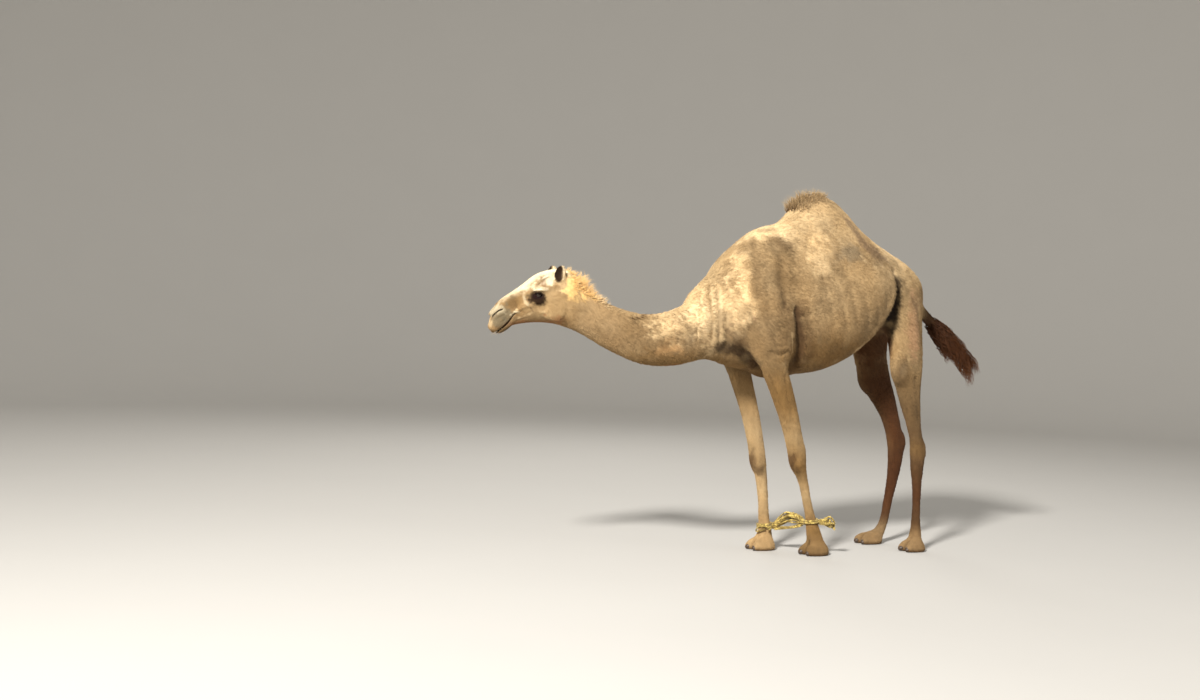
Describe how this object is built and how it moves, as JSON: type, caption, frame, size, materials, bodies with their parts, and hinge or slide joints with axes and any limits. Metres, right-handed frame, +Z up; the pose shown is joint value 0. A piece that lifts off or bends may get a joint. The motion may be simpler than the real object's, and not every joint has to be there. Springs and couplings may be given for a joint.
{
  "type": "dromedary camel",
  "caption": "Life-size standing dromedary camel, neck stretched low and forward, tail blown aside, forelegs joined by a rope hobble; a still museum-style model.",
  "frame": {"origin": "middle of the floor of the whole model's box, level with the soles", "axes": "+Z up, the head points to -X, the animal's left side is -Y; the trunk lies along X and the head is turned 15 degrees to the animal's right"},
  "size_m": [3.2378, 0.5976, 2.067],
  "materials": {
    "coat": "short flat cream-buff hair over hide, paler on the head, worn grey-brown on shoulder and flank",
    "eye": "dark brown, wet and glossy",
    "nail": "dark dull horn",
    "tail_hair": "long coarse dark brown hair",
    "crest_hair": "shaggy grey-brown to reddish hair",
    "nape_hair": "bristly yellow-buff hair",
    "rope": "laid yellow rope, dusty and frayed"
  },
  "bodies": {
    "root": {"trunk": "coat", "hump": "coat", "neck": "coat", "head": "coat", "lower_jaw": "coat", "left_ear": "coat", "right_ear": "coat", "tail": "coat", "left_fore_foot": "coat", "left_fore_cannon": "coat", "left_fore_forearm": "coat", "right_fore_foot": "coat", "right_fore_cannon": "coat", "right_fore_forearm": "coat", "left_hind_foot": "coat", "left_hind_cannon": "coat", "left_hind_thigh": "coat", "right_hind_foot": "coat", "right_hind_cannon": "coat", "right_hind_thigh": "coat", "left_eye": "eye", "right_eye": "eye", "left_fore_left_nail": "nail", "left_fore_right_nail": "nail", "right_fore_left_nail": "nail", "right_fore_right_nail": "nail", "left_hind_left_nail": "nail", "left_hind_right_nail": "nail", "right_hind_left_nail": "nail", "right_hind_right_nail": "nail", "tail_switch": "tail_hair", "hump_crest": "crest_hair", "nape_tuft": "nape_hair", "hobble_left_ring": "rope", "hobble_right_ring": "rope", "hobble_link": "rope", "hobble_strand": "rope", "hobble_left_knot": "rope", "hobble_right_knot": "rope"}
  },
  "joints": []
}
